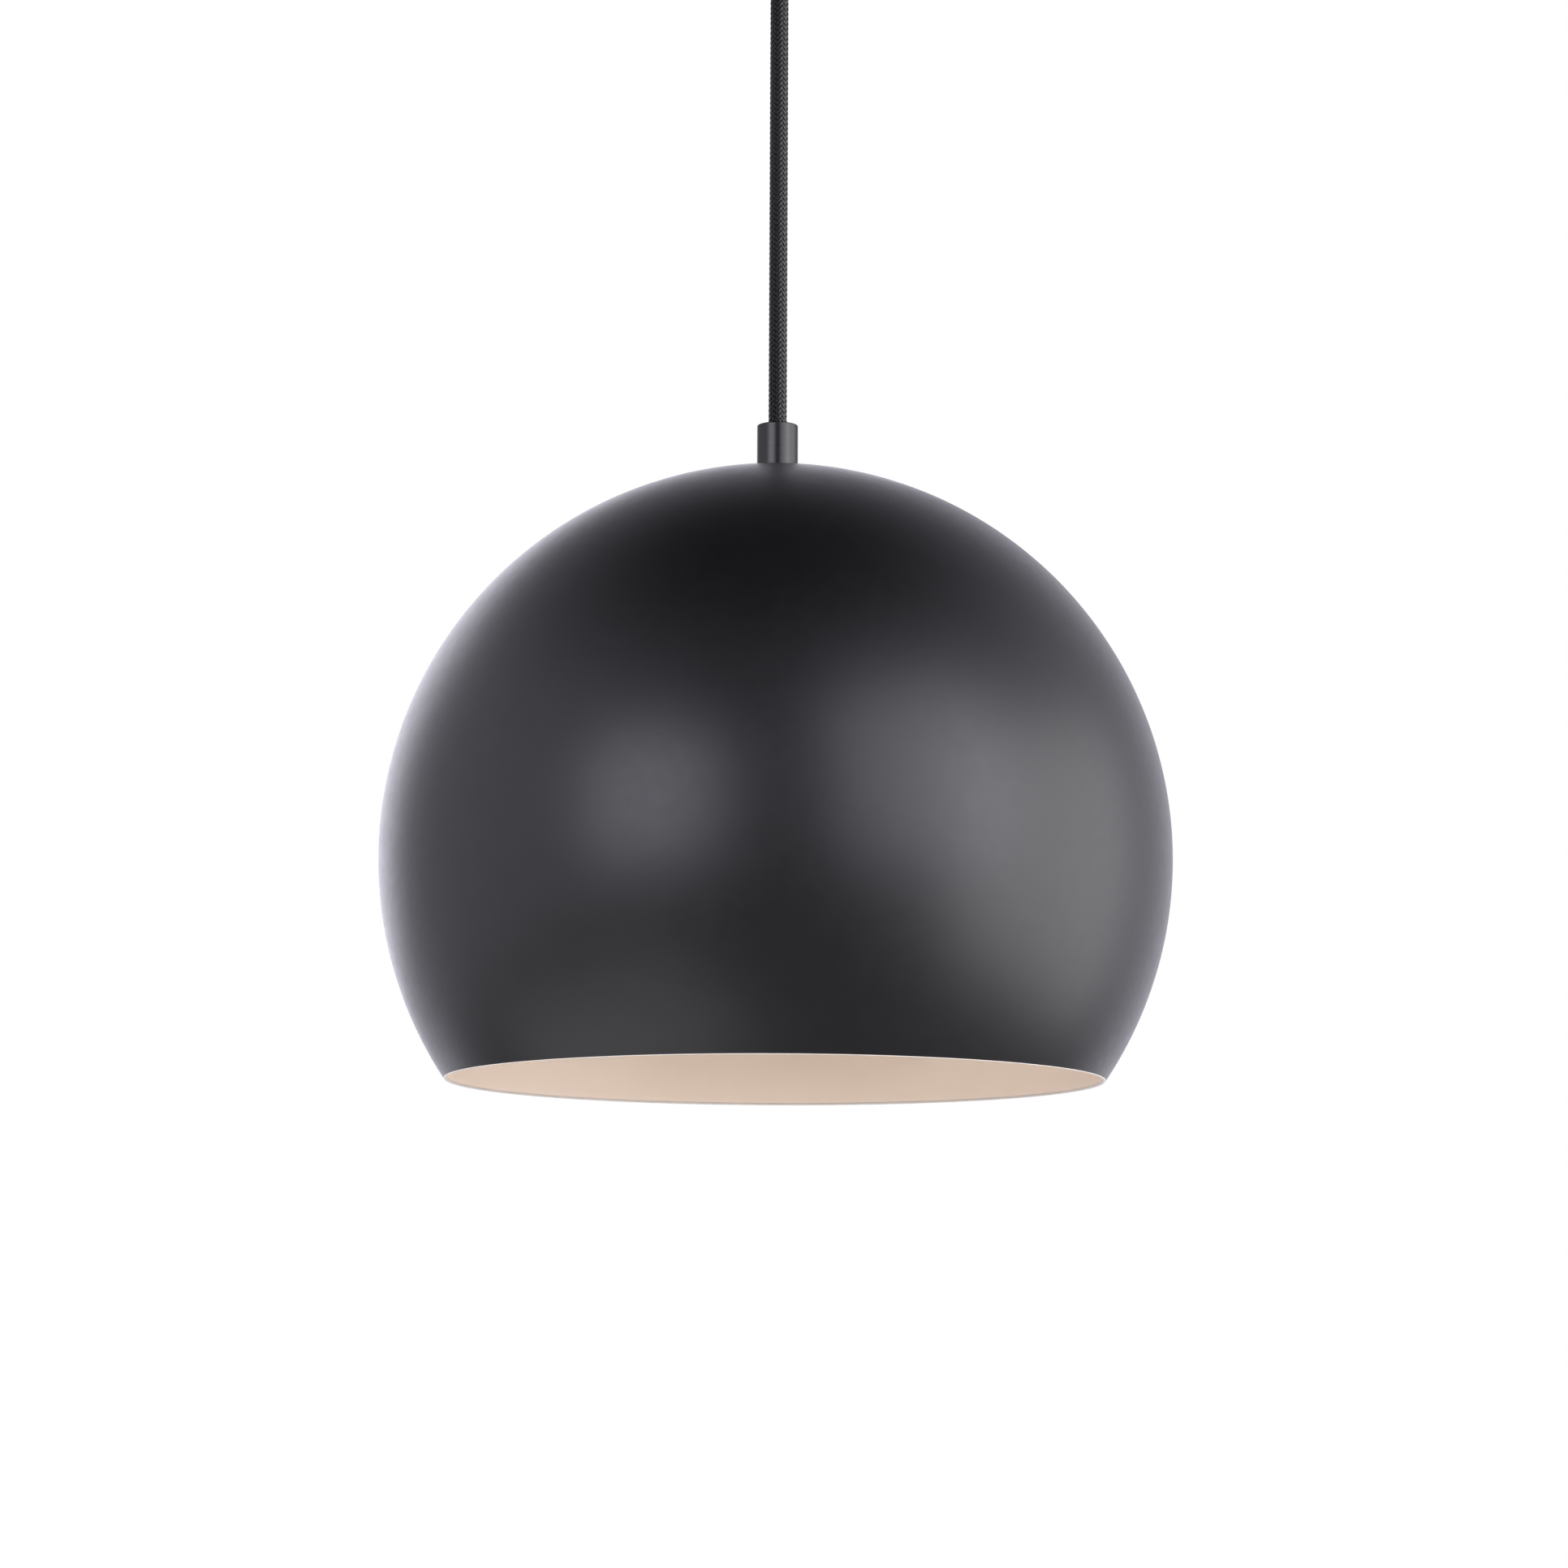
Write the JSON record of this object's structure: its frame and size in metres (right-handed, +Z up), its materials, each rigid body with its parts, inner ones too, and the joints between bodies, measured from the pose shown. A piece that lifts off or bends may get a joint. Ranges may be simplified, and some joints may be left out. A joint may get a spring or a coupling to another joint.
{
  "type": "pendant ceiling light",
  "caption": "Pendant ceiling light with a round metal ball shade open at the bottom, hung on a straight textile cord from a round canopy, with a lamp holder and bulb inside.",
  "frame": {"origin": "middle of the bracket's upper face, where it lies on the ceiling", "axes": "+Z up into the ceiling and along the lamp's axis, +X along the bracket's two slots, -Y to the front"},
  "size_m": [0.3, 0.3, 0.4721],
  "materials": {
    "shade_aluminium": "matte",
    "black_painted_steel": "matte",
    "zinc_plated_steel": "satin",
    "brass": "satin",
    "textile_cord": "matte",
    "terminal_plastic": "matte",
    "brown_insulation": "satin",
    "blue_insulation": "satin",
    "green_yellow_insulation": "satin",
    "holder_plastic": "satin",
    "holder_ceramic": "satin",
    "bulb_plastic": "satin",
    "bulb_diffuser": "satin",
    "nickel_plated_brass": "satin",
    "insulator_glass": "gloss",
    "circuit_board": "satin",
    "driver_board": "satin",
    "chip_phosphor": "satin"
  },
  "bodies": {
    "canopy": {"ceiling_bracket": "zinc_plated_steel", "canopy_cover": "black_painted_steel", "canopy_side_screws": "black_painted_steel", "canopy_gland": "black_painted_steel", "gland_washer": "zinc_plated_steel", "gland_nut": "zinc_plated_steel", "gland_grub_screw": "black_painted_steel", "terminal_block": "terminal_plastic", "terminal_tubes": "brass", "terminal_screws": "zinc_plated_steel", "terminal_block_screw": "zinc_plated_steel", "earth_screw": "zinc_plated_steel", "earth_tag": "nickel_plated_brass", "bracket_earth_lead": "green_yellow_insulation", "cord_head": "textile_cord", "live_core_upper": "brown_insulation", "neutral_core_upper": "blue_insulation", "earth_core_upper": "green_yellow_insulation"},
    "cord_top_bend": {"cord_upper_bend": "textile_cord"},
    "cord_top": {"cord_upper": "textile_cord"},
    "cord_bottom": {"cord_lower": "textile_cord"},
    "cord_bottom_bend": {"cord_lower_bend": "textile_cord"},
    "shade": {"shade": "shade_aluminium", "shade_collar": "black_painted_steel", "collar_grub_screw": "black_painted_steel", "threaded_nipple": "zinc_plated_steel", "shade_washer": "zinc_plated_steel", "shade_lock_nut": "zinc_plated_steel", "cord_tail": "textile_cord", "live_core_lower": "brown_insulation", "neutral_core_lower": "blue_insulation", "earth_core_lower": "green_yellow_insulation", "holder_cap": "black_painted_steel", "holder_body": "holder_plastic", "holder_insert": "holder_ceramic", "holder_terminals": "brass", "holder_terminal_screws": "zinc_plated_steel", "holder_screw_shell": "nickel_plated_brass", "holder_centre_contact": "brass"},
    "bulb": {"bulb_contact": "nickel_plated_brass", "bulb_insulator": "insulator_glass", "bulb_screw_cap": "nickel_plated_brass", "bulb_body": "bulb_plastic", "bulb_globe": "bulb_diffuser", "led_board": "circuit_board", "led_chips": "chip_phosphor", "led_driver": "driver_board"}
  },
  "joints": [
    {"name": "cord_swing_x", "type": "hinge", "parent": "canopy", "child": "cord_top_bend", "pos_m": [0, 0, -0.0378], "axis": [1, 0, 0], "range_deg": [-25, 25]},
    {"name": "cord_swing_y", "type": "hinge", "parent": "cord_top_bend", "child": "cord_top", "pos_m": [0, 0, -0.0378], "axis": [0, 1, 0], "range_deg": [-25, 25]},
    {"name": "cord_twist", "type": "hinge", "parent": "cord_top", "child": "cord_bottom", "pos_m": [0, 0, -0.1299], "axis": [0, 0, 1], "range_deg": [-180, 180], "stiffness_Nm_per_rad": 0.002},
    {"name": "shade_tilt_x", "type": "hinge", "parent": "cord_bottom", "child": "cord_bottom_bend", "pos_m": [0, 0, -0.222], "axis": [1, 0, 0], "range_deg": [-15, 15]},
    {"name": "shade_tilt_y", "type": "hinge", "parent": "cord_bottom_bend", "child": "shade", "pos_m": [0, 0, -0.222], "axis": [0, 1, 0], "range_deg": [-15, 15]},
    {"name": "bulb_unscrew", "type": "slide", "parent": "shade", "child": "bulb", "axis": [0, 0, -1], "range_m": [0, 0.2]}
  ]
}
